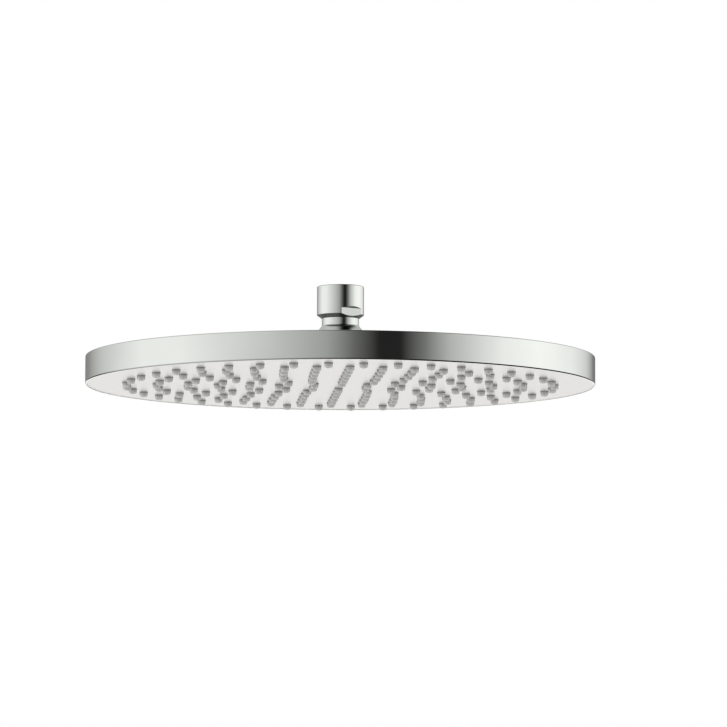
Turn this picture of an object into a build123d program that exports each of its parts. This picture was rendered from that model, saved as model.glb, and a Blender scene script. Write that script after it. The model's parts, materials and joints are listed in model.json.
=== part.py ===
from build123d import *
import os
from math import hypot, radians, sin, sqrt, tan

# Rain shower head, 250 mm across, hung from a half-inch pipe by a ball joint.
# The origin is the centre of the inlet's mouth. +Z points up, out of the inlet, towards the pipe.
# All driving dimensions are in millimetres and degrees.

# Inlet connector: pipe nut, neck and ball, turned from one bar
thread_diameter = 20.955
thread_depth = 8.0
nut_wall = 1.07
nut_height = 14.3
nut_edge = 0.5
nut_chamfer_height = 1.65
flats_across = 20.2
flats_height = 2.8
flats_runout_slope = 28.0
flats_turn = -58.2
neck_diameter = 18.3
neck_length = 3.6
ball_diameter = 25.0
ball_end_latitude = 42.0
waterway_diameter = 10.0

# Washer, filter screen and flow regulator inside the connector
washer_diameter = 18.5
washer_bore = 11.5
washer_thickness = 1.6
screen_thickness = 0.4
screen_hole = 1.4
screen_pitch = 2.1
screen_holes_across = 5
insert_gap = 0.1
regulator_diameter = 13.8
regulator_height = 6.0
regulator_wall = 1.2
regulator_floor = 1.5
regulator_outlet = 5.0
orifice_thickness = 2.2
orifice_bore = 3.6

# Ball joint: seal below the ball, friction ring above it, hub and collar round both
ball_gap = 0.1
seal_depth = 4.0
seal_height = 3.0
seal_width = 2.6
hub_rise = 0.2
hub_wall = 2.3
hub_gap = 0.15
hub_flange_width = 5.0
hub_flange_thickness = 1.5
friction_ring_height = 3.3
friction_ring_inset = 0.8
collar_wall = 2.5
collar_lip_gap = 0.25
collar_lip_thickness = 1.3
collar_shoulder = 2.4
collar_flat_depth = 1.4
thread_gap = 0.05
hub_nut_wall = 3.4
hub_nut_height = 2.8
nut_clearance = 0.3

# Head: outer shell of thin sheet, with the spray face set back a little in its lower edge
head_diameter = 250.0
head_height = 13.7
ball_over_shell = 7.3
shell_wall = 0.8
shell_top_bevel = 0.4
shell_rim_bevel = 0.4
shell_washer_thickness = 0.6
shell_washer_width = 5.5
face_recess = 0.3
face_thickness = 1.8
face_gap = 0.1

# Nozzles: rings evenly spaced out to the rim band, with none at the centre
rim_band = 20.0
ring_count = 7
nozzles_per_ring_step = 6
outer_ring_nozzles = 40
pattern_turn = 3.0
outer_ring_turn = 6.0
nozzle_diameter = 4.3
nozzle_tip_diameter = 3.9
nozzle_length = 2.4
nozzle_gap = 0.12
nozzle_sides = 6
mat_thickness = 1.5
mat_margin = 6.0

# Water chamber cover and the screws that clamp it to the face
cover_thickness = 2.0
cover_wall = 2.0
cover_gap = 1.5
seal_land = 3.0
flange_thickness = 1.8
rib_count = 8
rib_thickness = 2.0
rib_height = 1.5
rib_end_gap = 4.0
boss_ring_width = 6.0
hub_seal_thickness = 0.8
hub_seal_width = 4.4
screw_count = 6
screw_diameter = 2.9
screw_clearance = 0.3
screw_engagement = 2.0
screw_head_diameter = 5.2
screw_head_height = 1.5
screw_boss_wall = 1.5
pilot_gap = 0.1
pilot_extra_depth = 0.25

# Levels and radii worked out from the driving dimensions

# Connector, measured down from the mouth
nut_radius = thread_diameter / 2 + nut_wall
neck_radius = neck_diameter / 2
ball_radius = ball_diameter / 2
waterway_radius = waterway_diameter / 2
washer_seat_radius = washer_diameter / 2 + insert_gap
washer_bottom = -thread_depth - washer_thickness
screen_bottom = washer_bottom - screen_thickness
regulator_seat_radius = regulator_diameter / 2 + insert_gap
regulator_bottom = screen_bottom - insert_gap - regulator_height
nut_bottom = -nut_height
chamfer_bottom = nut_bottom - nut_chamfer_height
flats_top = nut_bottom + flats_height
neck_bottom = chamfer_bottom - neck_length
ball_level = neck_bottom - sqrt(ball_radius**2 - neck_radius**2)
ball_end = ball_level - ball_radius * sin(radians(ball_end_latitude))

# Head, measured down from the ball
shell_top = ball_level - ball_over_shell
shell_underside = shell_top - shell_wall
shell_rim = shell_top - head_height
face_bottom = shell_rim + face_recess
face_top = face_bottom + face_thickness
mat_top = face_top + mat_thickness
nozzle_tip = face_bottom - nozzle_length
cover_top = shell_underside - rib_height
cover_underside = cover_top - cover_thickness
hub_flange_top = cover_underside - hub_seal_thickness
hub_bottom = hub_flange_top - hub_flange_thickness
hub_top = ball_level + hub_rise
seal_top = ball_level - seal_depth
seal_bottom = seal_top - seal_height
hub_nut_bottom = shell_top + shell_washer_thickness
collar_bottom = hub_nut_bottom + hub_nut_height + nut_clearance
ring_top = hub_top + friction_ring_height
lip_bottom = ring_top + insert_gap / 2
collar_top = lip_bottom + collar_lip_thickness

# Radii round the ball
ball_seat_radius = ball_radius + ball_gap
seal_inner_radius = sqrt(ball_seat_radius**2 - seal_depth**2)
seal_outer_radius = seal_inner_radius + seal_width
socket_radius = seal_outer_radius + insert_gap
outlet_radius = sqrt(ball_seat_radius**2 - (seal_depth + seal_height) ** 2)
hub_radius = socket_radius + hub_wall
hub_hole_radius = hub_radius + hub_gap
ring_outer_radius = hub_radius - friction_ring_inset
collar_bore_radius = hub_radius + thread_gap
collar_radius = collar_bore_radius + collar_wall
lip_radius = sqrt(ball_radius**2 - (lip_bottom - ball_level) ** 2) + collar_lip_gap

# Radii of the head, from the rim inwards
head_radius = head_diameter / 2
shell_inner_radius = head_radius - shell_wall
face_radius = shell_inner_radius - face_gap
flange_radius = shell_inner_radius - cover_gap
outer_ring_radius = head_radius - rim_band
ring_pitch = outer_ring_radius / ring_count
mat_radius = outer_ring_radius + mat_margin
chamber_radius = mat_radius - seal_land
screw_circle_radius = (mat_radius + flange_radius) / 2


def turned(*outline):
    """Solid turned about the pipe axis from a closed outline of (radius, level) corners."""
    return revolve(Plane.XZ * make_face(Polyline(*outline, close=True)), Axis.Z)


def ring(inner, outer, bottom, top):
    """Plain washer-shaped ring."""
    return turned((inner, bottom), (outer, bottom), (outer, top), (inner, top))


def rod(radius, bottom, top):
    """Plain round bar along the pipe axis."""
    return extrude(Pos(0, 0, bottom) * Circle(radius), top - bottom)


def nozzle_places():
    """Places of the nozzles: six more on each ring, staggered by half a step from the ring inside it."""
    places = []
    for step in range(1, ring_count):
        count = nozzles_per_ring_step * step
        stagger = 180 / count if step % 2 else 0
        places += PolarLocations(ring_pitch * step, count, start_angle=pattern_turn + stagger)
    places += PolarLocations(outer_ring_radius, outer_ring_nozzles, start_angle=outer_ring_turn)
    return places


def screw_places(level):
    """Places of the cover screws, on the flange outside the water chamber."""
    half_step = 180 / screw_count
    return Pos(0, 0, level) * PolarLocations(screw_circle_radius, screw_count, start_angle=half_step)


def across_flats(width):
    """Regular polygon drawn round a circle, for the many nozzles and their holes."""
    return RegularPolygon(width / 2, nozzle_sides, major_radius=False)


def ball_stem():
    """Nut, neck and ball, bored through; each spanner flat slopes out to the nut's side at its upper end."""
    edge = min(nut_edge, nut_wall / 2)
    stem = turned(
        (0, 0),
        (nut_radius - edge, 0),
        (nut_radius, -edge),
        (nut_radius, nut_bottom),
        (neck_radius, chamfer_bottom),
        (neck_radius, ball_level),
        (0, ball_level),
    )
    stem += Pos(0, 0, ball_level) * Sphere(ball_radius)
    stem -= rod(ball_radius, ball_level - ball_diameter, ball_end)
    stem -= rod(thread_diameter / 2, -thread_depth, 0)
    stem -= rod(washer_seat_radius, screen_bottom, 0)
    stem -= rod(regulator_seat_radius, regulator_bottom, 0)
    stem -= rod(waterway_radius, ball_end, 0)
    flat_radius = flats_across / 2
    cut_radius = flat_radius + nut_radius
    flat_outline = Polyline(
        (flat_radius, chamfer_bottom),
        (cut_radius, chamfer_bottom),
        (cut_radius, flats_top + nut_radius * tan(radians(flats_runout_slope))),
        (flat_radius, flats_top),
        close=True,
    )
    flat_cut = extrude(Plane.XZ * make_face(flat_outline), nut_radius, both=True)
    for side in (0, 180):
        stem -= Rot(0, 0, flats_turn + side) * flat_cut
    return stem


def inlet_washer():
    return ring(washer_bore / 2, washer_diameter / 2, washer_bottom, -thread_depth)


def filter_screen():
    disc = Circle(washer_diameter / 2)
    reach = washer_bore / 2 - screen_hole
    for place in GridLocations(screen_pitch, screen_pitch, screen_holes_across, screen_holes_across):
        if hypot(place.position.X, place.position.Y) < reach:
            disc -= place * Rectangle(screen_hole, screen_hole)
    return extrude(Pos(0, 0, screen_bottom) * disc, screen_thickness)


def flow_regulator():
    radius = regulator_diameter / 2
    floor_top = regulator_bottom + regulator_floor
    return turned(
        (regulator_outlet / 2, regulator_bottom),
        (radius, regulator_bottom),
        (radius, regulator_bottom + regulator_height),
        (radius - regulator_wall, regulator_bottom + regulator_height),
        (radius - regulator_wall, floor_top),
        (regulator_outlet / 2, floor_top),
    )


def orifice_washer():
    floor_top = regulator_bottom + regulator_floor
    outer = regulator_diameter / 2 - regulator_wall - insert_gap
    return ring(orifice_bore / 2, outer, floor_top, floor_top + orifice_thickness)


def ball_seal():
    """Rubber ring under the ball, which bears on its upper inner edge."""
    return ring(seal_inner_radius, seal_outer_radius, seal_bottom, seal_top)


def friction_ring():
    """Ring over the ball's shoulder, coned to touch the ball at half its height."""
    middle = hub_rise + friction_ring_height / 2
    touch_radius = sqrt(ball_seat_radius**2 - middle**2)
    lean = middle / touch_radius * friction_ring_height / 2
    return turned(
        (touch_radius + lean, hub_top),
        (ring_outer_radius, hub_top),
        (ring_outer_radius, ring_top),
        (touch_radius - lean, ring_top),
    )


def socket_hub():
    """Flanged hub, bored for the ball and its seal, with an outlet to the water chamber."""
    flange_outer = hub_radius + hub_flange_width
    return turned(
        (outlet_radius, hub_bottom),
        (flange_outer, hub_bottom),
        (flange_outer, hub_flange_top),
        (hub_radius, hub_flange_top),
        (hub_radius, hub_top),
        (socket_radius, hub_top),
        (socket_radius, seal_bottom),
        (outlet_radius, seal_bottom),
    )


def hub_seal():
    return ring(hub_hole_radius, hub_hole_radius + hub_seal_width, hub_flange_top, cover_underside)


def shell_washer():
    return ring(hub_hole_radius, hub_hole_radius + shell_washer_width, shell_top, hub_nut_bottom)


def hub_nut():
    outline = RegularPolygon(collar_bore_radius + hub_nut_wall, 6, major_radius=False)
    outline -= Circle(collar_bore_radius)
    return extrude(Pos(0, 0, hub_nut_bottom) * outline, hub_nut_height)


def collar_nut():
    """Collar screwed on the hub: its lip holds the friction ring down, and two flats take a spanner."""
    pocket_radius = ring_outer_radius + insert_gap
    pocket_bottom = hub_top + insert_gap
    collar = turned(
        (collar_bore_radius, collar_bottom),
        (collar_radius, collar_bottom),
        (collar_radius, collar_top - collar_shoulder),
        (lip_radius + collar_lip_thickness, collar_top),
        (lip_radius, collar_top),
        (lip_radius, lip_bottom),
        (pocket_radius, lip_bottom),
        (pocket_radius, pocket_bottom),
        (collar_bore_radius, pocket_bottom),
    )
    flat_cut = Pos(collar_radius - collar_flat_depth, 0, collar_bottom) * Box(
        collar_wall,
        2 * collar_radius,
        collar_top - collar_bottom,
        align=(Align.MIN, Align.CENTER, Align.MIN),
    )
    for side in (0, 180):
        collar -= Rot(0, 0, flats_turn + side) * flat_cut
    return collar


def top_shell():
    """Top plate and side wall in one, with its outer edges eased."""
    return turned(
        (hub_hole_radius, shell_top),
        (head_radius - shell_top_bevel, shell_top),
        (head_radius, shell_top - shell_top_bevel),
        (head_radius, shell_rim + shell_rim_bevel),
        (head_radius - shell_rim_bevel, shell_rim),
        (shell_inner_radius, shell_rim),
        (shell_inner_radius, shell_underside),
        (hub_hole_radius, shell_underside),
    )


def chamber_cover():
    """Moulded lid of the water chamber: a wall and a screw flange on the mat, ribs up to the shell."""
    wall_radius = chamber_radius + cover_wall
    flange_top = mat_top + flange_thickness
    cover = turned(
        (hub_hole_radius, cover_underside),
        (chamber_radius, cover_underside),
        (chamber_radius, mat_top),
        (flange_radius, mat_top),
        (flange_radius, flange_top),
        (wall_radius, flange_top),
        (wall_radius, cover_top),
        (hub_hole_radius + boss_ring_width, cover_top),
        (hub_hole_radius + boss_ring_width, shell_underside),
        (hub_hole_radius, shell_underside),
    )
    rib_start = hub_hole_radius + boss_ring_width / 2
    rib = Pos(rib_start, 0, cover_top) * Box(
        wall_radius - rib_end_gap - rib_start,
        rib_thickness,
        rib_height,
        align=(Align.MIN, Align.CENTER, Align.MIN),
    )
    cover += [turn * rib for turn in PolarLocations(0, rib_count)]
    hole = rod((screw_diameter + screw_clearance) / 2, 0, flange_thickness)
    return cover - [place * hole for place in screw_places(mat_top)]


def cover_screws():
    """Pan-head screws, through the flange into the bosses on the back of the face."""
    head = rod(screw_head_diameter / 2, 0, screw_head_height)
    shank = rod(screw_diameter / 2, -flange_thickness - screw_engagement, 0)
    screw = head + shank
    return Compound([place * screw for place in screw_places(mat_top + flange_thickness)])


def nozzle_mat():
    """Silicone sheet with its nozzles, which pass through the face and stand out below it."""
    root = Pos(0, 0, face_top) * across_flats(nozzle_diameter)
    tip = Pos(0, 0, nozzle_tip) * across_flats(nozzle_tip_diameter)
    nozzle = loft([root, tip])
    return rod(mat_radius, face_top, mat_top) + [place * nozzle for place in nozzle_places()]


def face_plate():
    """Spray face with a hole for each nozzle and screw bosses on its back."""
    hole = across_flats(nozzle_diameter + 2 * nozzle_gap)
    outline = Circle(face_radius) - [place * hole for place in nozzle_places()]
    plate = extrude(Pos(0, 0, face_bottom) * outline, face_thickness)
    pilot_radius = (screw_diameter + pilot_gap) / 2
    boss = rod(pilot_radius + screw_boss_wall, -mat_thickness, 0)
    pilot = rod(pilot_radius, -screw_engagement - pilot_extra_depth, 0)
    plate += [place * boss for place in screw_places(mat_top)]
    return plate - [place * pilot for place in screw_places(mat_top)]


sub_parts = [
    ball_stem,
    inlet_washer,
    filter_screen,
    flow_regulator,
    orifice_washer,
    ball_seal,
    friction_ring,
    socket_hub,
    hub_seal,
    shell_washer,
    hub_nut,
    collar_nut,
    top_shell,
    chamber_cover,
    cover_screws,
    nozzle_mat,
    face_plate,
]

os.makedirs("parts", exist_ok=True)
for sub_part in sub_parts:
    export_step(sub_part(), f"parts/{sub_part.__name__}.step")
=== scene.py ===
"""Looks of the rain shower head: fine meshes for the pieces that show, a material for every piece,
the studio and the camera."""
import json
from math import cos, pi, radians, sin, sqrt, tan, tau

import bmesh
import bpy
from mathutils import Matrix, Vector


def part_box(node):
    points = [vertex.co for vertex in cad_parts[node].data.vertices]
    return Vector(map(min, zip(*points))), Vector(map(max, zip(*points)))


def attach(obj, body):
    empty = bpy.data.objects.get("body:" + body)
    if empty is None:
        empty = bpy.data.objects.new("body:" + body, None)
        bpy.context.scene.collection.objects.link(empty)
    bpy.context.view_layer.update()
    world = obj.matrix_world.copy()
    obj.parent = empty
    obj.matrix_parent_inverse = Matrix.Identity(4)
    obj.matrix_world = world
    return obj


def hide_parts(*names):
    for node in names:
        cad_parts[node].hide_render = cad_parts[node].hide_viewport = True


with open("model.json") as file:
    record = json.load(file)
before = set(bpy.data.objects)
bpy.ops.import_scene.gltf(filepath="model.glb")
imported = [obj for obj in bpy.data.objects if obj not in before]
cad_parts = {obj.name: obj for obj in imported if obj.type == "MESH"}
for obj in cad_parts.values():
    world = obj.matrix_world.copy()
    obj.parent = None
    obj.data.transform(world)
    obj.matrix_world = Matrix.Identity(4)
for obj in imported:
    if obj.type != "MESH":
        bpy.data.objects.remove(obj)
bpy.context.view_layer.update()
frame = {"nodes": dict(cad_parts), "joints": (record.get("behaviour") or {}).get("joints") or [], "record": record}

# Lengths are in metres, and those of the head are written as millimetres times this
MM = 0.001

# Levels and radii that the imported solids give
head_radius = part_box("top_shell")[1].x
shell_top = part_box("top_shell")[1].z
shell_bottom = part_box("top_shell")[0].z
face_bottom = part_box("face_plate")[0].z
face_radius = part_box("face_plate")[1].x
mat_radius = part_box("nozzle_mat")[1].x
mat_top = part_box("nozzle_mat")[1].z
nozzle_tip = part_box("nozzle_mat")[0].z
ball_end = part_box("ball_stem")[0].z
ball_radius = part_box("ball_stem")[1].x
collar_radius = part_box("collar_nut")[1].x
collar_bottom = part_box("collar_nut")[0].z
collar_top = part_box("collar_nut")[1].z
ring_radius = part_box("friction_ring")[1].x
ring_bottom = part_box("friction_ring")[0].z
ring_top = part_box("friction_ring")[1].z
lock_nut_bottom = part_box("hub_nut")[0].z
lock_nut_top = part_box("hub_nut")[1].z
lock_nut_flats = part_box("hub_nut")[1].y
ball_level = Vector(frame["joints"][0]["pos_m"]).z

# The pipe axis runs straight down through here
on_axis = Vector((0, 0, 0))


def add(tree, kind, sockets=None, stops=(), **settings):
    """Add a node with its settings; a socket is given a value, or an output to link to it.

    The stops of a colour ramp are (place, colour) pairs in rising order.
    """
    node = tree.nodes.new(kind)
    for name, value in settings.items():
        setattr(node, name, value)
    for name, value in (sockets or {}).items():
        if isinstance(value, bpy.types.NodeSocket):
            tree.links.new(value, node.inputs[name])
        else:
            node.inputs[name].default_value = value
    for number, (place, colour) in enumerate(stops):
        elements = node.color_ramp.elements
        element = elements[number] if number < len(elements) else elements.new(place)
        element.position = place
        element.color = colour
    return node


def linear(hex_colour):
    """Linear colour, with alpha, from an sRGB hex value."""
    channels = [int(hex_colour[place:place + 2], 16) / 255 for place in (1, 3, 5)]
    return [c / 12.92 if c <= 0.04045 else ((c + 0.055) / 1.055) ** 2.4 for c in channels] + [1.0]


def two_tones(dark, light):
    """Ramp stops from a dark to a light tone, over the levels that noise mostly keeps to."""
    return [(0.3, linear(dark)), (0.7, linear(light))]


def surface(name, **sockets):
    """New material with its shader's plain values set; returns the material, its nodes and the shader."""
    material = bpy.data.materials.new(name)
    material.use_nodes = True
    tree = material.node_tree
    shader = tree.nodes["Principled BSDF"]
    for socket, value in sockets.items():
        shader.inputs[socket].default_value = value
    return material, tree, shader


# Painted shade: a face whose upward part of its direction lies below this level is painted darker. No face has
# one under -1, so the first level paints none of them.
shade_no_face = -2.0
shade_undersides = -0.3


def polished_chrome(name, reach):
    """Chrome plate on polished brass: a clear cool mirror whose tone and gloss vary faintly in wide patches.

    Faces that point down further than the reach are painted darker, as painted shade under the parts. Inward
    faces, where the plating is thin, are matt and grey.
    """
    patch_size = 30 * MM
    shade_fade = 0.1
    bore_start = -2 * MM
    bore_end = -4 * MM
    dull_roughness = 0.3
    material, tree, shader = surface(name)
    place = add(tree, "ShaderNodeTexCoord")
    patch = add(tree, "ShaderNodeTexNoise", {"Vector": place.outputs["Object"], "Scale": 1 / patch_size})
    tone = add(tree, "ShaderNodeValToRGB", {"Fac": patch.outputs["Fac"]}, two_tones("#F0F3EE", "#F5F8F3"))
    gloss = add(tree, "ShaderNodeMapRange", {"Value": patch.outputs["Fac"], "To Min": 0.05, "To Max": 0.09})
    upward = add(tree, "ShaderNodeSeparateXYZ", {"Vector": place.outputs["Normal"]}).outputs["Z"]
    # Mask of painted shade on the faces that point down past the reach
    below = {"Value": upward, "From Min": reach, "From Max": reach - shade_fade}
    under = add(tree, "ShaderNodeMapRange", below).outputs["Result"]
    # A face's distance from the pipe axis, which is negative where it looks inwards
    level = {0: place.outputs["Normal"], 1: (1, 1, 0)}
    side = add(tree, "ShaderNodeVectorMath", level, operation="MULTIPLY").outputs["Vector"]
    outward = {0: side, 1: place.outputs["Object"]}
    distance = add(tree, "ShaderNodeVectorMath", outward, operation="DOT_PRODUCT").outputs["Value"]
    inward = {"Value": distance, "From Min": bore_start, "From Max": bore_end}
    inside = add(tree, "ShaderNodeMapRange", inward).outputs["Result"]
    metal = add(tree, "ShaderNodeMath", {0: 1.0, 1: inside}, operation="SUBTRACT").outputs["Value"]
    matt = add(tree, "ShaderNodeMath", {0: under, 1: inside}, operation="MAXIMUM").outputs["Value"]
    # A mix of colours has its factor and colours in sockets 0, 6 and 7, and its result in 2
    colour = tone.outputs["Color"]
    # 767A76 is painted shade on the faces that point down; #CFD1CE is the matt grey of inward faces
    for mask, shade_or_grey in ((under, "#767A76"), (inside, "#CFD1CE")):
        tones = {0: mask, 6: colour, 7: linear(shade_or_grey)}
        colour = add(tree, "ShaderNodeMix", tones, data_type="RGBA").outputs[2]
    # A mix of plain values has them in sockets 2 and 3, and its result in 0
    blurs = {0: matt, 2: gloss.outputs["Result"], 3: dull_roughness}
    roughness = add(tree, "ShaderNodeMix", blurs).outputs[0]
    tree.links.new(colour, shader.inputs["Base Color"])
    tree.links.new(roughness, shader.inputs["Roughness"])
    tree.links.new(metal, shader.inputs["Metallic"])
    return material


def satin_chrome():
    """Chrome plate on a finely textured moulding: it blurs what stands on it into a soft smudge.

    The texture scatters a share of the light, so the face stays light from below too. Its grain is too fine
    to show, and is drawn coarser.
    """
    patch_size = 40 * MM
    grain_size = 0.5 * MM
    grain_height = 0.05 * MM
    material, tree, shader = surface("satin_chrome", Metallic=0.83)
    place = add(tree, "ShaderNodeTexCoord").outputs["Object"]
    patch = add(tree, "ShaderNodeTexNoise", {"Vector": place, "Scale": 1 / patch_size, "Detail": 3.0})
    tone = add(tree, "ShaderNodeValToRGB", {"Fac": patch.outputs["Fac"]}, two_tones("#EDEAE7", "#F2EFEC"))
    gloss = add(tree, "ShaderNodeMapRange", {"Value": patch.outputs["Fac"], "To Min": 0.28, "To Max": 0.34})
    grain = add(tree, "ShaderNodeTexNoise", {"Vector": place, "Scale": 1 / grain_size, "Detail": 2.0})
    relief = {"Height": grain.outputs["Fac"], "Strength": 0.04, "Distance": grain_height}
    bump = add(tree, "ShaderNodeBump", relief)
    tree.links.new(tone.outputs["Color"], shader.inputs["Base Color"])
    tree.links.new(gloss.outputs["Result"], shader.inputs["Roughness"])
    tree.links.new(bump.outputs["Normal"], shader.inputs["Normal"])
    return material


def silicone():
    """Grey moulded silicone: satin, with painted shade that darkens it towards the root, where it meets the face.

    The mould's grain is too fine to show, and is drawn coarser.
    """
    grain_size = 0.6 * MM
    grain_height = 0.05 * MM
    material, tree, shader = surface("grey_silicone", IOR=1.41, Roughness=0.5)
    point = add(tree, "ShaderNodeTexCoord").outputs["Object"]
    height = add(tree, "ShaderNodeSeparateXYZ", {"Vector": point}).outputs["Z"]
    root_to_tip = {"Value": height, "From Min": face_bottom, "From Max": nozzle_tip}
    depth = add(tree, "ShaderNodeMapRange", root_to_tip).outputs["Result"]
    # Painted shade: darkest at the root, where the nozzle meets the face, growing lighter towards the lip
    root_shade_greys = [(0.0, "#686866"), (0.25, "#A2A2A0"), (0.6, "#B2B2B0"), (1.0, "#BABAB8")]
    tones = [(place, linear(colour)) for place, colour in root_shade_greys]
    tone = add(tree, "ShaderNodeValToRGB", {"Fac": depth}, tones)
    grain = add(tree, "ShaderNodeTexNoise", {"Vector": point, "Scale": 1 / grain_size, "Detail": 2.0})
    relief = {"Height": grain.outputs["Fac"], "Strength": 0.1, "Distance": grain_height}
    bump = add(tree, "ShaderNodeBump", relief)
    tree.links.new(tone.outputs["Color"], shader.inputs["Base Color"])
    tree.links.new(bump.outputs["Normal"], shader.inputs["Normal"])
    return material


def mottled(name, dark, light, grain_size, rough_low, rough_high, bump_height, **sockets):
    """Plain finish whose tone, gloss and relief vary over patches of one size.

    The patches are coarser than most real grain of this kind, which is too fine to show.
    """
    material, tree, shader = surface(name, **sockets)
    place = add(tree, "ShaderNodeTexCoord").outputs["Object"]
    noise = add(tree, "ShaderNodeTexNoise", {"Vector": place, "Scale": 1 / grain_size, "Detail": 4.0})
    grain = noise.outputs["Fac"]
    tone = add(tree, "ShaderNodeValToRGB", {"Fac": grain}, two_tones(dark, light))
    gloss = add(tree, "ShaderNodeMapRange", {"Value": grain, "To Min": rough_low, "To Max": rough_high})
    bump = add(tree, "ShaderNodeBump", {"Height": grain, "Strength": 0.3, "Distance": bump_height})
    tree.links.new(tone.outputs["Color"], shader.inputs["Base Color"])
    tree.links.new(gloss.outputs["Result"], shader.inputs["Roughness"])
    tree.links.new(bump.outputs["Normal"], shader.inputs["Normal"])
    return material


def brass():
    """Turned brass, left unplated: yellow metal with a fine tool finish."""
    return mottled("turned_brass", "#B58E45", "#C9A55C", 0.8 * MM, 0.22, 0.34, 0.01 * MM, Metallic=1.0)


def steel():
    """Stainless steel sheet and screws: grey metal, dull from blanking and rolling."""
    return mottled("stainless_steel", "#9B9B98", "#B4B4B1", 0.5 * MM, 0.3, 0.42, 0.01 * MM, Metallic=1.0)


def rubber():
    """Black moulded rubber for washers and seals: matt, with a faint bloom."""
    return mottled("black_rubber", "#161616", "#222221", 1.2 * MM, 0.65, 0.8, 0.03 * MM, IOR=1.5)


def acetal():
    """White acetal mouldings: smooth and slightly waxy."""
    return mottled("white_acetal", "#DEDDD6", "#E8E7E1", 2 * MM, 0.35, 0.45, 0.01 * MM, IOR=1.48)


def abs_plastic():
    """Dark ABS moulding: even, with a spark-eroded texture."""
    return mottled("dark_abs", "#2A2A2C", "#343436", 0.7 * MM, 0.5, 0.62, 0.04 * MM, IOR=1.53)


# Edges that turn by less than this are shaded as round
smooth_below = radians(25)

# Vertices closer than this are one
merge_distance = 0.001 * MM

# Faces across each round of a turned piece
round_segments = 5


def put_in_scene(name, data):
    """New object in the scene, from a mesh, a lamp or a camera."""
    item = bpy.data.objects.new(name, data)
    bpy.context.scene.collection.objects.link(item)
    return item


def mesh_from(name, shape):
    """New mesh from a finished bmesh."""
    mesh = bpy.data.meshes.new(name)
    shape.to_mesh(mesh)
    shape.free()
    return mesh


def shade_round(shape):
    """Shade every face as round, but keep the sharp edges."""
    for face in shape.faces:
        face.smooth = True
    for edge in shape.edges:
        edge.smooth = edge.calc_face_angle(0) < smooth_below


def make_piece(name, shape, material, body, slot, *nodes):
    """Turn a bmesh into a finished piece: normals outwards, smooth but for its sharp edges, on its body."""
    bmesh.ops.remove_doubles(shape, verts=shape.verts, dist=merge_distance)
    bmesh.ops.recalc_face_normals(shape, faces=shape.faces)
    shade_round(shape)
    piece = put_in_scene(name, mesh_from(name, shape))
    piece.data.materials.append(material)
    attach(piece, body)
    if nodes:
        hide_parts(*nodes)
    return piece


def even_normals(piece):
    """Let the large faces set the shading, so that a small round leaves its neighbours flat."""
    modifier = piece.modifiers.new("even_normals", "WEIGHTED_NORMAL")
    modifier.keep_sharp = True


def closed_line(shape, points):
    """Closed line of edges through points; returns its vertices."""
    verts = [shape.verts.new(point) for point in points]
    for start, end in zip(verts, verts[1:] + verts[:1]):
        shape.edges.new((start, end))
    return verts


def turned(corners, steps):
    """Solid turned about the pipe axis, from (radius, level, round) corners of its outline."""
    shape = bmesh.new()
    verts = closed_line(shape, [(radius, 0, level) for radius, level, _ in corners])
    for vert, (_, _, round_size) in zip(verts, corners):
        if round_size:
            bmesh.ops.bevel(
                shape, geom=[vert], offset=round_size, offset_type="OFFSET", segments=round_segments,
                profile=0.5, affect="VERTICES", material=-1,
            )
    bmesh.ops.spin(
        shape, geom=shape.verts[:] + shape.edges[:], cent=on_axis, axis=(0, 0, 1), angle=tau, steps=steps,
        use_merge=True,
    )
    return shape


def flat_circle(shape, centre, radius, level, segments, filled=False):
    """Level circle of edges, or a filled disc; returns its vertices."""
    place = Matrix.Translation((centre.x, centre.y, level))
    circle = bmesh.ops.create_circle(shape, segments=segments, radius=radius, matrix=place, cap_ends=filled)
    return circle["verts"]


def thicken(shape, faces, offset):
    """Draw a flat sheet of faces out into a closed plate."""
    edges = list({edge for face in faces for edge in face.edges})
    raised = bmesh.ops.extrude_face_region(shape, geom=faces + edges, use_keep_orig=True)["geom"]
    verts = [item for item in raised if isinstance(item, bmesh.types.BMVert)]
    bmesh.ops.translate(shape, verts=verts, vec=offset)


def flat_cutter(across, bottom, top, slope):
    """Block that mills one flat: upright towards the axis, its upper end sloping out and up."""
    shape = bmesh.new()
    inner = across / 2
    outer = across
    corners = [(inner, bottom), (outer, bottom), (outer, top + (outer - inner) * tan(slope)), (inner, top)]
    side = shape.faces.new([shape.verts.new((radius, -across, level)) for radius, level in corners])
    thicken(shape, [side], Vector((0, 2 * across, 0)))
    bmesh.ops.recalc_face_normals(shape, faces=shape.faces)
    return put_in_scene("flat_cutter", mesh_from("flat_cutter", shape))


def cut_flats(piece, cutter, turn):
    """Mill two opposite flats on a turned piece, then drop the cutter and mark the sharp edges."""
    for side in (0, pi):
        cutter.rotation_euler.z = turn + side
        modifier = piece.modifiers.new("flat", "BOOLEAN")
        modifier.object = cutter
        modifier.operation = "DIFFERENCE"
        bpy.context.view_layer.update()
        piece.data = bpy.data.meshes.new_from_object(
            piece.evaluated_get(bpy.context.evaluated_depsgraph_get())
        )
        piece.modifiers.clear()
    bpy.data.objects.remove(cutter)
    shape = bmesh.new()
    shape.from_mesh(piece.data)
    shade_round(shape)
    shape.to_mesh(piece.data)
    shape.free()


# Connector
spanner_turn = radians(-58.2)
cutter_overrun = 1 * MM
nut_radius = 11.5475 * MM
nut_bottom = -14.3 * MM
nut_top_round = 0.5 * MM
nut_bottom_round = 0.12 * MM
chamfer_bottom = nut_bottom - 1.65 * MM
flats_across = 20.2 * MM
flats_top = nut_bottom + 2.8 * MM
flats_runout_slope = radians(28)
plain_band = 1.2 * MM
neck_radius = 9.15 * MM
neck_top_round = 0.15 * MM
neck_bottom_round = 0.25 * MM
connector_steps = 192
ball_steps = 32

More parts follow.
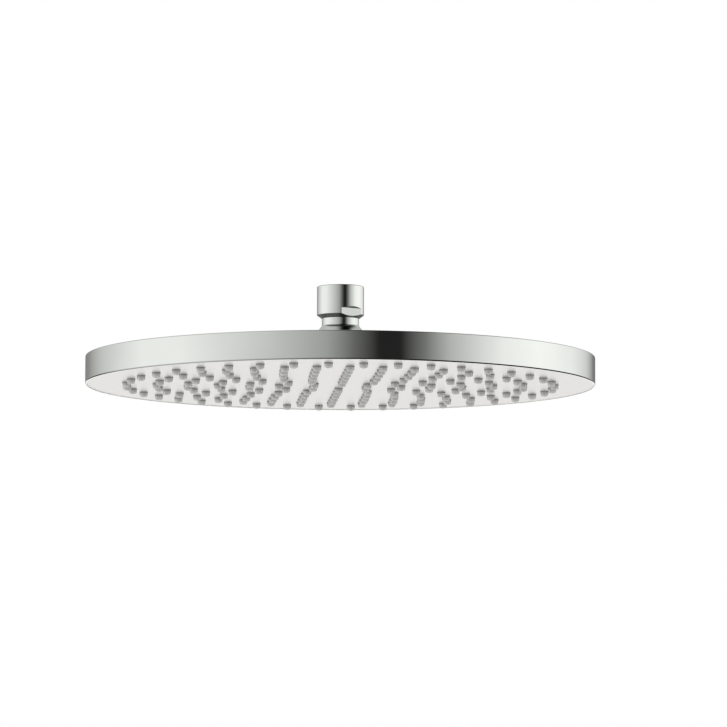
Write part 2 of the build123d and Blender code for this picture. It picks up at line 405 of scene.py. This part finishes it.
# Inside of the connector, from the pipe thread down
bore_round = 0.3 * MM
thread_radius = 10.4775 * MM
thread_end = -8 * MM
washer_seat_radius = 9.35 * MM
washer_seat = thread_end - 2 * MM
regulator_seat_radius = 7 * MM
regulator_seat = washer_seat - 6.1 * MM
waterway_radius = 5 * MM

# Half-inch pipe thread, whose ridge is sunk a little into the wall
thread_pitch = 1.814 * MM
thread_height = 1.162 * MM
thread_start = -0.9 * MM
thread_turns = 4
thread_steps = 48
thread_root = thread_radius + 0.05 * MM
ridge_half_base = 0.45 * thread_pitch
ridge_half_crest = 0.15 * ridge_half_base


def connector(material):
    """Nut, neck and ball in one turned piece, bored through, with two spanner flats.

    The nut's wall is parted above the flats, so that their cuts leave the rest of it as it was.
    """
    neck_end = sqrt(ball_radius**2 - neck_radius**2)
    corners = [
        (thread_radius, 0, bore_round),
        (nut_radius, 0, nut_top_round),
        (nut_radius, flats_top + plain_band, 0),
        (nut_radius, nut_bottom, nut_bottom_round),
        (neck_radius, chamfer_bottom, neck_top_round),
        (neck_radius, ball_level + neck_end, neck_bottom_round),
    ]
    corners += ball_outline(neck_end)
    corners += [
        (waterway_radius, ball_end, bore_round),
        (waterway_radius, regulator_seat, 0),
        (regulator_seat_radius, regulator_seat, 0),
        (regulator_seat_radius, washer_seat, 0),
        (washer_seat_radius, washer_seat, 0),
        (washer_seat_radius, thread_end, 0),
        (thread_radius, thread_end, 0),
    ]
    piece = make_piece(
        "connector", turned(corners, connector_steps), material, "inlet", "chrome", "ball_stem"
    )
    cutter = flat_cutter(flats_across, chamfer_bottom - cutter_overrun, flats_top, flats_runout_slope)
    cut_flats(piece, cutter, spanner_turn)
    even_normals(piece)


def ball_outline(neck_end):
    """Points down the ball's side, from the neck to its flat end."""
    points = []
    for step in range(1, ball_steps + 1):
        level = neck_end + (ball_end - ball_level - neck_end) * step / ball_steps
        points.append((sqrt(ball_radius**2 - level**2), ball_level + level, 0))
    return points


def inlet_thread(material):
    """Pipe thread inside the nut: one ridge wound down the bore."""
    shape = bmesh.new()
    closed_line(shape, [
        (thread_root, 0, thread_start + ridge_half_base),
        (thread_radius - thread_height, 0, thread_start + ridge_half_crest),
        (thread_radius - thread_height, 0, thread_start - ridge_half_crest),
        (thread_root, 0, thread_start - ridge_half_base),
    ])
    bmesh.ops.spin(
        shape, geom=shape.verts[:] + shape.edges[:], cent=on_axis, axis=(0, 0, 1), angle=-tau * thread_turns,
        dvec=(0, 0, -thread_pitch / thread_steps), steps=thread_turns * thread_steps, use_merge=False,
    )
    bmesh.ops.holes_fill(shape, edges=shape.edges[:], sides=4)
    make_piece("inlet_thread", shape, material, "inlet", "chrome")


# Ball joint's collar
hub_wall = 0.8 * MM
hub_radius = ring_radius + hub_wall
seat_gap = 0.05 * MM
collar_bore = hub_radius + seat_gap
collar_bottom_round = 0.4 * MM
collar_shoulder = 2.4 * MM
shoulder_round = 0.5 * MM
collar_flat_depth = 1.4 * MM
collar_flats = 2 * (collar_radius - collar_flat_depth)
collar_steps = 144
lip_gap = 0.25 * MM
lip_thickness = 1.3 * MM
lip_bottom = ring_top + seat_gap
lip_radius = sqrt(ball_radius**2 - (lip_bottom - ball_level) ** 2) + lip_gap
lip_round = 0.3 * MM
collar_hole_round = 0.2 * MM
pocket_gap = 0.1 * MM
pocket_radius = ring_radius + pocket_gap
pocket_bottom = ring_bottom + pocket_gap

# Lock nut
hexagon_sides = 6
lock_nut_bore_sides = 72
lock_nut_bevel = 0.35 * MM
corner_turn = radians(50)
circle_slack = 0.01 * MM


def collar(material):
    """Collar over the ball, with a coned shoulder and two flats."""
    corners = [
        (collar_bore, collar_bottom, collar_hole_round),
        (collar_radius, collar_bottom, collar_bottom_round),
        (collar_radius, collar_top - collar_shoulder, shoulder_round),
        (lip_radius + lip_thickness, collar_top, lip_round),
        (lip_radius, collar_top, collar_hole_round),
        (lip_radius, lip_bottom, 0),
        (pocket_radius, lip_bottom, 0),
        (pocket_radius, pocket_bottom, 0),
        (collar_bore, pocket_bottom, 0),
    ]
    piece = make_piece("collar", turned(corners, collar_steps), material, "head", "chrome", "collar_nut")
    cutter = flat_cutter(collar_flats, collar_bottom - cutter_overrun, collar_top + cutter_overrun, 0)
    cut_flats(piece, cutter, spanner_turn)
    even_normals(piece)


def lock_nut(material):
    """Thin hexagon nut that clamps the hub to the shell, with eased edges."""
    shape = bmesh.new()
    flat_circle(shape, on_axis, lock_nut_flats / cos(pi / hexagon_sides), lock_nut_bottom, hexagon_sides)
    flat_circle(shape, on_axis, collar_bore, lock_nut_bottom, lock_nut_bore_sides)
    bmesh.ops.triangle_fill(shape, use_beauty=True, edges=shape.edges[:])
    thicken(shape, shape.faces[:], Vector((0, 0, lock_nut_top - lock_nut_bottom)))
    corners = [edge for edge in shape.edges if edge.calc_face_angle(0) > corner_turn]
    rims = [edge for edge in corners if not on_circle(edge, collar_bore)]
    bmesh.ops.bevel(
        shape, geom=rims, offset=lock_nut_bevel, offset_type="OFFSET", segments=2, profile=0.5,
        affect="EDGES", material=-1,
    )
    make_piece("lock_nut", shape, material, "head", "chrome", "hub_nut")


def on_circle(edge, radius):
    """Whether both ends of an edge lie on a circle about the pipe axis."""
    return all(abs(vert.co.xy.length - radius) < circle_slack for vert in edge.verts)


# Disc
shell_wall = 0.8 * MM
shell_hole = hub_radius + 0.15 * MM
shell_hole_round = 0.2 * MM
top_round = 0.5 * MM
rim_round = 0.7 * MM
rim_inner_round = 0.05 * MM
face_thickness = 1.8 * MM
face_top = face_bottom + face_thickness
disc_steps = 288


def shell(material):
    """Top plate and side wall, with rounded edges above and below."""
    underside = shell_top - shell_wall
    inside = head_radius - shell_wall
    corners = [
        (shell_hole, shell_top, shell_hole_round),
        (head_radius, shell_top, top_round),
        (head_radius, shell_bottom, rim_round),
        (inside, shell_bottom, rim_inner_round),
        (inside, underside, 0),
        (shell_hole, underside, 0),
    ]
    piece = make_piece("shell", turned(corners, disc_steps), material, "head", "chrome", "top_shell")
    even_normals(piece)


# Nozzles: rings out to the rim band, every other one turned by half a step, and none at the centre
rim_band = 20 * MM
ring_count = 7
outer_ring = head_radius - rim_band
ring_pitch = outer_ring / ring_count
nozzles_per_ring_step = 6
outer_ring_nozzles = 40
pattern_turn = radians(3)
outer_ring_turn = radians(6)
nozzle_radius = 2.15 * MM
nozzle_sides = 12
tip_radius = 1.95 * MM
tip_round = 0.9 * MM
water_bore_radius = 0.55 * MM
water_bore_depth = 1.5 * MM
water_bore_taper = 0.02 * MM
hole_radius = nozzle_radius + 0.12 * MM
hole_sides = 20
mat_sides = 96

# Bosses on the back of the face, sunk a little into it, for the screws of the chamber's cover
screw_count = 6
screw_circle = (mat_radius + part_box("chamber_cover")[1].x) / 2
pilot_radius = 1.5 * MM
boss_radius = 3 * MM
boss_sides = 20
boss_bottom = face_top - 0.1 * MM


def nozzle_places():
    """Centres of all the nozzles, on the face."""
    rings = []
    for step in range(1, ring_count):
        count = nozzles_per_ring_step * step
        stagger = pi / count if step % 2 else 0
        rings.append((ring_pitch * step, count, pattern_turn + stagger))
    rings.append((outer_ring, outer_ring_nozzles, outer_ring_turn))
    places = []
    for radius, count, turn in rings:
        for number in range(count):
            angle = turn + tau * number / count
            places.append(Vector((radius * cos(angle), radius * sin(angle), 0)))
    return places


def spray_face(material):
    """Face plate with a round hole for each nozzle, and the bosses for the cover's screws on its back."""
    shape = bmesh.new()
    flat_circle(shape, on_axis, face_radius, face_bottom, disc_steps)
    for place in nozzle_places():
        flat_circle(shape, place, hole_radius, face_bottom, hole_sides)
    bmesh.ops.triangle_fill(shape, use_beauty=True, edges=shape.edges[:])
    thicken(shape, shape.faces[:], Vector((0, 0, face_thickness)))
    for number in range(screw_count):
        angle = tau * (number + 0.5) / screw_count
        place = Vector((screw_circle * cos(angle), screw_circle * sin(angle), 0))
        rims = flat_circle(shape, place, boss_radius, boss_bottom, boss_sides)
        rims += flat_circle(shape, place, pilot_radius, boss_bottom, boss_sides)
        edges = list({edge for vert in rims for edge in vert.link_edges})
        filled = bmesh.ops.triangle_fill(shape, use_beauty=True, edges=edges)["geom"]
        ends = [item for item in filled if isinstance(item, bmesh.types.BMFace)]
        thicken(shape, ends, Vector((0, 0, mat_top - boss_bottom)))
    make_piece("spray_face", shape, material, "head", "chrome", "face_plate")


def spray_nozzles(material):
    """Silicone sheet behind the face, with its nozzles drawn out of it: tapered, round-lipped and bored."""
    shape = bmesh.new()
    flat_circle(shape, on_axis, mat_radius, face_top, mat_sides)
    ends = []
    for place in nozzle_places():
        ends += flat_circle(shape, place, nozzle_radius, face_top, nozzle_sides, filled=True)[0].link_faces
    bmesh.ops.triangle_fill(shape, use_beauty=True, edges=shape.edges[:])
    thicken(shape, shape.faces[:], Vector((0, 0, mat_top - face_top)))
    bmesh.ops.recalc_face_normals(shape, faces=shape.faces)
    half_round = sin(pi / 4) * tip_round
    stages = [
        (nozzle_radius - tip_radius, face_top - nozzle_tip - tip_round),
        (tip_round - half_round, half_round),
        (half_round, tip_round - half_round),
        (tip_radius - tip_round - water_bore_radius, 0),
        (water_bore_taper, -water_bore_depth),
    ]
    for narrowing, drop in stages:
        bmesh.ops.inset_individual(shape, faces=ends, thickness=narrowing, depth=drop, use_even_offset=True)
    make_piece("spray_nozzles", shape, material, "head", "silicone", "nozzle_mat")


# Studio, in metres: light walls all round, a dark strip to the right of the camera, a pale floor far below
camera_distance = 2.3
camera_drop = radians(5.737)
camera_roll = radians(0.2)
camera_lens = 232.1
floor_level = -2.6
floor_radius = 40.0
floor_sides = 96

# Where the middle of the lower rim lies in the photograph, in pixels
photo_size = 727
photo_centre = photo_size / 2
rim_centre_in_photo = (340.2, 386.0)

# Place of each lamp, and its power in watts
lamp_size = 1.8
lamps = {
    "front_lamp": (Vector((-0.4, -1.6, -0.7)), 12.0),
    "left_lamp": (Vector((-1.7, -0.1, -0.6)), 32.0),
    "right_lamp": (Vector((1.7, -0.1, -0.6)), 30.0),
}

# Brightness of the walls by bearing in degrees, from behind by the left, the camera and the right
wall_levels = [
    (-180, 0.18), (-158, 0.27), (-137, 0.55), (-100, 0.91), (-75, 0.89), (-30, 0.57), (-6, 0.36),
    (6, 0.14), (17, 0.017), (27, 0.017), (38, 0.18), (50, 0.49), (78, 0.92), (100, 1.0), (127, 0.88),
    (147, 0.63), (162, 0.19),
]

# Brightness overhead and below by the part of a direction that points to the right
overhead_levels = [
    (-1, 0.55), (-0.6, 0.55), (-0.25, 0.4), (-0.08, 0.21), (0.03, 0.09), (0.1, 0.018), (0.23, 0.003),
    (0.43, 0.003), (0.53, 0.04), (0.6, 0.22), (0.67, 0.48), (1, 0.57),
]
under_levels = [(-1, 0.55), (-0.5, 0.36), (-0.1, 0.12), (0.1, 0.02), (0.6, 0.01), (1, 0.02)]

# The walls pass into what is overhead and what is below between these upward parts of a direction
overhead_start = 0.2
overhead_end = 0.32
under_start = 0.0
under_end = -0.04

# The white sweep begins and is full at these parts of a direction that point aside
sweep_edge = 0.35
sweep_full = 0.2


def grey(level):
    """Neutral colour of a given brightness, with alpha."""
    return (level, level, level, 1.0)


def light_walls():
    """World light by direction, as the chrome shows it.

    Round the horizon are low walls that are bright to both sides, with a dark strip right of the camera.
    The strip runs on overhead, where it is grey to both sides and behind. Below the horizon the light falls
    off from left to right, and behind it is dark but for a narrow white sweep. The camera itself sees white
    all round.
    """
    world = bpy.data.worlds.new("studio")
    bpy.context.scene.world = world
    world.use_nodes = True
    tree = world.node_tree
    tree.nodes.clear()
    direction = add(tree, "ShaderNodeTexCoord").outputs["Generated"]
    right, back, up = add(tree, "ShaderNodeSeparateXYZ", {"Vector": direction}).outputs
    front = add(tree, "ShaderNodeMath", {0: back, 1: -1.0}, operation="MULTIPLY").outputs["Value"]
    turn = add(tree, "ShaderNodeMath", {0: right, 1: front}, operation="ARCTAN2").outputs["Value"]
    bearing = add(tree, "ShaderNodeMath", {0: turn}, operation="DEGREES").outputs["Value"]

    colours = []
    directions = ((bearing, 180, wall_levels), (right, 1, overhead_levels), (right, 1, under_levels))
    for value, end, levels in directions:
        place = add(tree, "ShaderNodeMapRange", {"Value": value, "From Min": -end, "From Max": end})
        stops = [((at + end) / (2 * end), grey(level)) for at, level in levels]
        ramp = add(tree, "ShaderNodeValToRGB", {"Fac": place.outputs["Result"]}, stops)
        colours.append(ramp.outputs["Color"])
    room, overhead, under = colours

    # Layers over the walls: each comes in as a value passes from one level to another, up to its strength
    rising = {"Value": up, "From Min": overhead_start, "From Max": overhead_end}
    raised = add(tree, "ShaderNodeMapRange", rising).outputs["Result"]
    sinking = {"Value": up, "From Min": under_start, "From Max": under_end}
    lowered = add(tree, "ShaderNodeMapRange", sinking).outputs["Result"]
    aside = add(tree, "ShaderNodeMath", {0: right}, operation="ABSOLUTE").outputs["Value"]
    central = {"Value": aside, "From Min": sweep_edge, "From Max": sweep_full, "To Max": lowered}
    sweep = add(tree, "ShaderNodeMapRange", central).outputs["Result"]
    seen = add(tree, "ShaderNodeLightPath").outputs["Is Camera Ray"]
    layers = [
        (up, overhead_start, overhead_end, 1.0, overhead),
        (back, 0.1, 0.4, raised, grey(0.5)),
        (up, 0.6, 0.8, 1.0, overhead),
        (up, under_start, under_end, 1.0, under),
        (back, 0.5, 0.8, lowered, grey(0.03)),
        (back, 0.52, 0.85, sweep, grey(1.0)),
        (seen, 0.0, 1.0, 1.0, grey(1.0)),
    ]
    for value, start, end, strength, colour in layers:
        reach = {"Value": value, "From Min": start, "From Max": end, "To Max": strength}
        amount = add(tree, "ShaderNodeMapRange", reach).outputs["Result"]
        room = add(tree, "ShaderNodeMix", {0: amount, 6: room, 7: colour}, data_type="RGBA").outputs[2]
    background = add(tree, "ShaderNodeBackground", {"Color": room}).outputs["Background"]
    add(tree, "ShaderNodeOutputWorld", {"Surface": background})


def pale_floor():
    """Plain pale floor, well below the head; the chrome doesn't show it.

    The camera alone sees its glow, which keeps it pale without lighting the head.
    """
    tones = {"Base Color": linear("#E8E8E6"), "Emission Color": linear("#BCBCBA"), "Roughness": 0.8}
    material, tree, shader = surface("pale_floor", **tones)
    seen = add(tree, "ShaderNodeLightPath").outputs["Is Camera Ray"]
    tree.links.new(seen, shader.inputs["Emission Strength"])
    shape = bmesh.new()
    flat_circle(shape, on_axis, floor_radius, floor_level, floor_sides, filled=True)
    floor = put_in_scene("floor", mesh_from("floor", shape))
    floor.data.materials.append(material)
    floor.visible_glossy = False


def soft_lamps():
    """Soft lamps low in front and to both sides, which light the nozzles; the chrome doesn't show them."""
    for name, (place, power) in lamps.items():
        data = bpy.data.lights.new(name, "AREA")
        data.energy = power
        data.size = lamp_size
        lamp = put_in_scene(name, data)
        lamp.visible_glossy = False
        lamp.location = place
        lamp.rotation_euler = (Vector((0, 0, face_bottom)) - place).to_track_quat("-Z", "Y").to_euler()


def set_camera():
    """Camera a little below the head, looking up at its face, framed as in the photograph."""
    data = bpy.data.cameras.new("camera")
    data.lens = camera_lens
    data.shift_x = (photo_centre - rim_centre_in_photo[0]) / photo_size
    data.shift_y = (rim_centre_in_photo[1] - photo_centre) / photo_size
    camera = put_in_scene("camera", data)
    target = Vector((0, 0, shell_bottom))
    offset = Vector((0, -cos(camera_drop), -sin(camera_drop))) * camera_distance
    camera.location = target + offset
    facing = (-offset).to_track_quat("-Z", "Y").to_matrix().to_4x4() @ Matrix.Rotation(camera_roll, 4, "Z")
    camera.rotation_euler = facing.to_euler()
    bpy.context.scene.camera = camera


chrome = polished_chrome("polished_chrome", shade_no_face)
# Chrome with painted shade on the faces that point down, such as under the nut and the collar
undershaded_chrome = polished_chrome("undershaded_chrome", shade_undersides)
finishes = {
    "chrome": chrome, "brass": brass(), "steel": steel(), "rubber": rubber(), "silicone": silicone(),
    "acetal": acetal(), "abs": abs_plastic(),
}
for subpart in frame["record"]["subparts"]:
    node_object = frame["nodes"][subpart["node"]]
    node_object.data.materials.clear()
    node_object.data.materials.append(finishes[subpart["material_slot"]])

connector(undershaded_chrome)
inlet_thread(chrome)
collar(undershaded_chrome)
lock_nut(chrome)
shell(chrome)
spray_face(satin_chrome())
spray_nozzles(finishes["silicone"])

light_walls()
pale_floor()
soft_lamps()
set_camera()
bpy.context.scene.view_settings.view_transform = "Standard"
